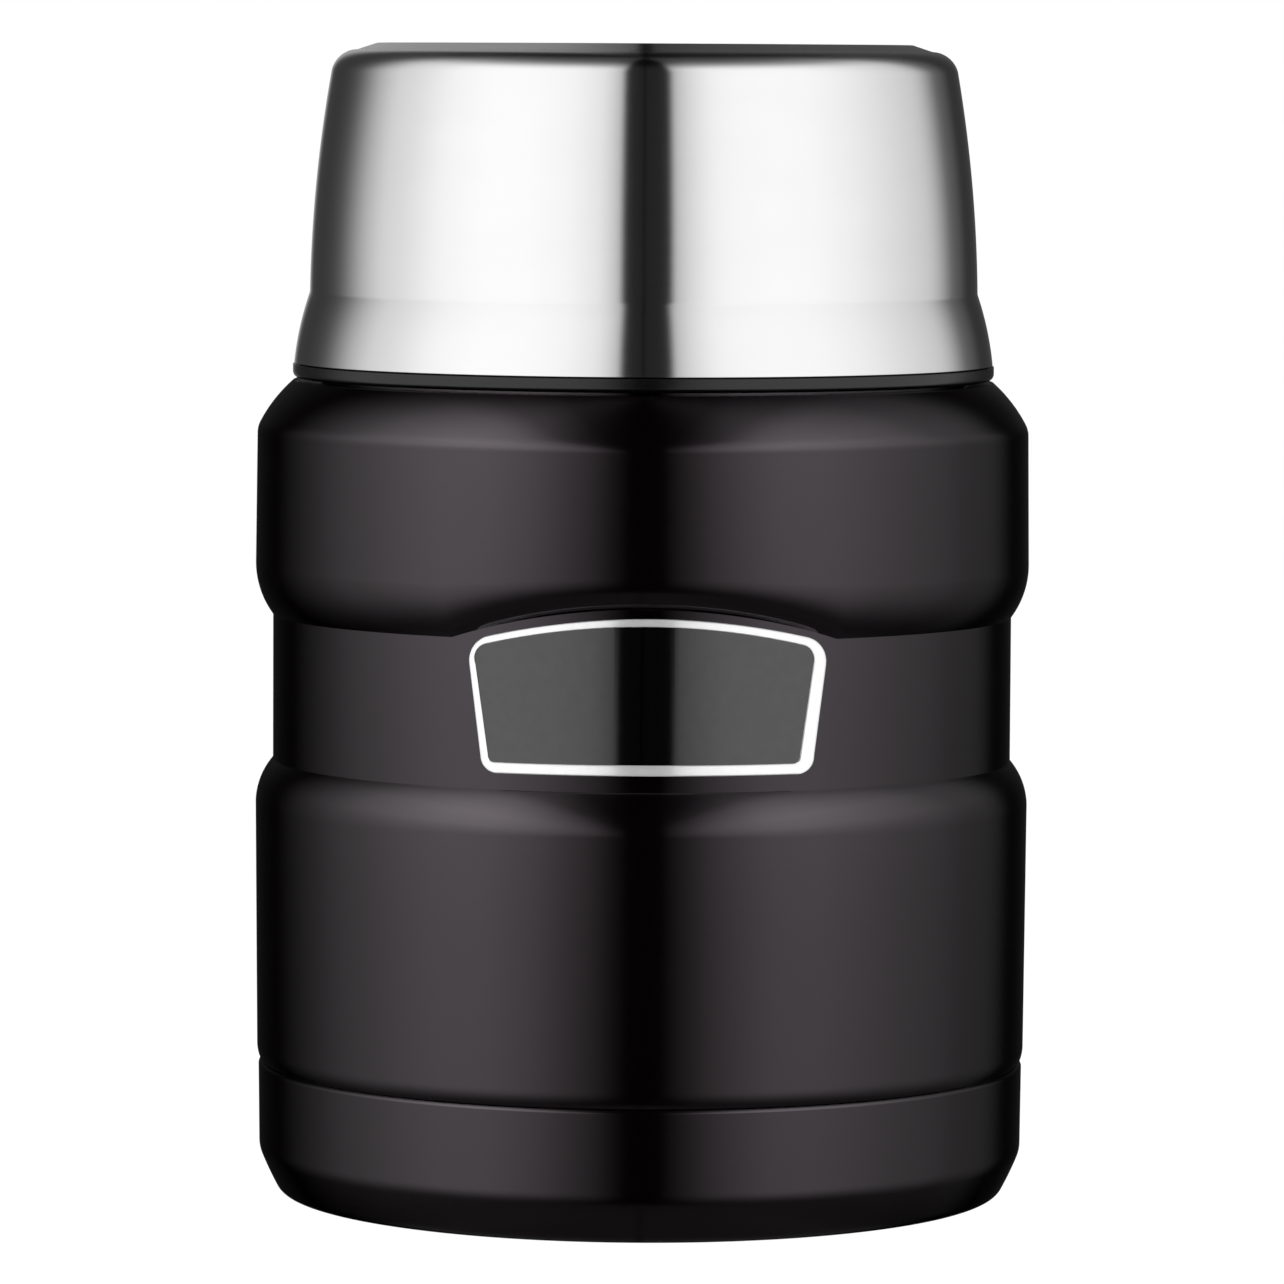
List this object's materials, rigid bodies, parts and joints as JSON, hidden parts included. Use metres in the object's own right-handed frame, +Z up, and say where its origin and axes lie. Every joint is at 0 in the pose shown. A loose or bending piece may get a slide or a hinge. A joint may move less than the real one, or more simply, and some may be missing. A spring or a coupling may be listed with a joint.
{
  "type": "insulated food jar",
  "caption": "Wide-mouth vacuum-insulated food jar with a screw-in stopper and a screw-on steel serving bowl that doubles as its lid.",
  "frame": {"origin": "middle of the foot, at the bottom centre of the bounding box", "axes": "+Z up along the jar's axis, -Y out through the badge at the front, +X to the viewer's right"},
  "size_m": [0.094, 0.094, 0.1398],
  "materials": {
    "black_lacquer": "gloss",
    "inner_steel": "satin",
    "brushed_lid_steel": "brushed round the axis",
    "shield_foil": "bright",
    "getter_metal": "matt",
    "solder_glass": "fused",
    "base_plastic": "matt",
    "badge_chrome": "polished edge",
    "badge_grey": "satin",
    "adhesive": "matt",
    "stopper_plastic": "satin",
    "ring_plastic": "satin",
    "silicone": "matt",
    "foam": "cellular"
  },
  "bodies": {
    "jar": {"outer_shell": "black_lacquer", "base_cup": "black_lacquer", "base_disc": "base_plastic", "port_seal_bead": "solder_glass", "vessel_wall": "inner_steel", "vessel_bottom": "inner_steel", "heat_shield": "shield_foil", "getter_pill": "getter_metal", "getter_cup": "inner_steel", "badge_tape": "adhesive", "badge_plate": "badge_chrome", "badge_enamel": "badge_grey"},
    "stopper_seal": {"stopper_gasket": "silicone"},
    "stopper": {"stopper_shell": "stopper_plastic", "stopper_foam": "foam", "stopper_cap": "stopper_plastic"},
    "bowl_inner": {"bowl_liner": "inner_steel", "bowl_seal_ring": "silicone"},
    "bowl": {"bowl_shell": "brushed_lid_steel", "bowl_collar": "ring_plastic"}
  },
  "joints": [
    {"name": "stopper_lift", "type": "slide", "parent": "jar", "child": "stopper_seal", "axis": [0, 0, 1], "range_m": [0, 0.03]},
    {"name": "stopper_turn", "type": "hinge", "parent": "stopper_seal", "child": "stopper", "pos_m": [0, 0, 0.096], "axis": [0, 0, 1], "range_deg": [0, 1080]},
    {"name": "bowl_lift", "type": "slide", "parent": "stopper", "child": "bowl_inner", "axis": [0, 0, 1], "range_m": [0, 0.032]},
    {"name": "bowl_turn", "type": "hinge", "parent": "bowl_inner", "child": "bowl", "pos_m": [0, 0, 0.107], "axis": [0, 0, 1], "range_deg": [0, 1440]}
  ],
  "couplings": [
    {"joint": "stopper_lift", "follows": "stopper_turn", "m_per_rad": 0.0015915},
    {"joint": "bowl_lift", "follows": "bowl_turn", "m_per_rad": 0.0012732}
  ]
}
